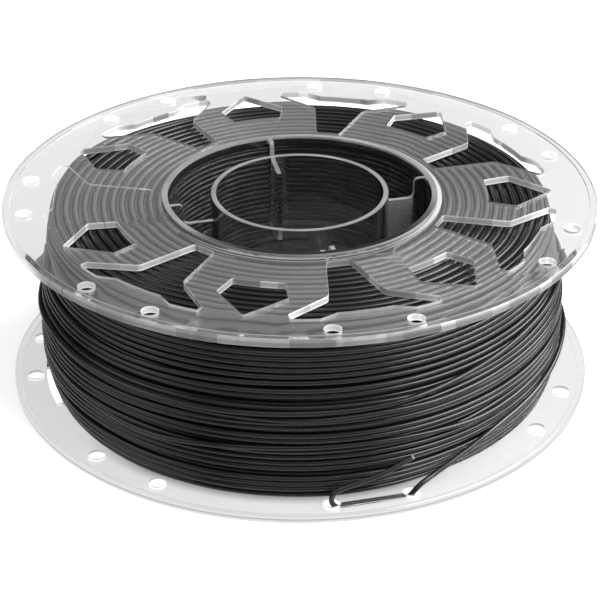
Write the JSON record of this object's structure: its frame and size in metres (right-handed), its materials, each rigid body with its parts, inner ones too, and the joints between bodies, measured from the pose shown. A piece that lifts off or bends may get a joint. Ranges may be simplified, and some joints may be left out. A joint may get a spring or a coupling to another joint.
{
  "type": "filament spool",
  "caption": "Clear plastic spool with windowed flanges and a ribbed hub, wound full of black printing filament whose free end is tucked through holes in the lower flange.",
  "frame": {"origin": "centre of the lower rim's face, which the spool stands on", "axes": "+Z along the spindle bore, from the lower flange to the upper; -Y towards the holes that hold the strand's free end"},
  "size_m": [0.2, 0.2, 0.066],
  "materials": {
    "clear_plastic": "clear, polished moulding",
    "black_filament": "black extruded strand with a soft sheen"
  },
  "bodies": {
    "root": {"upper_half": "clear_plastic", "lower_half": "clear_plastic", "wound_filament": "black_filament", "outer_turns": "black_filament", "filament_tail": "black_filament"}
  },
  "joints": []
}
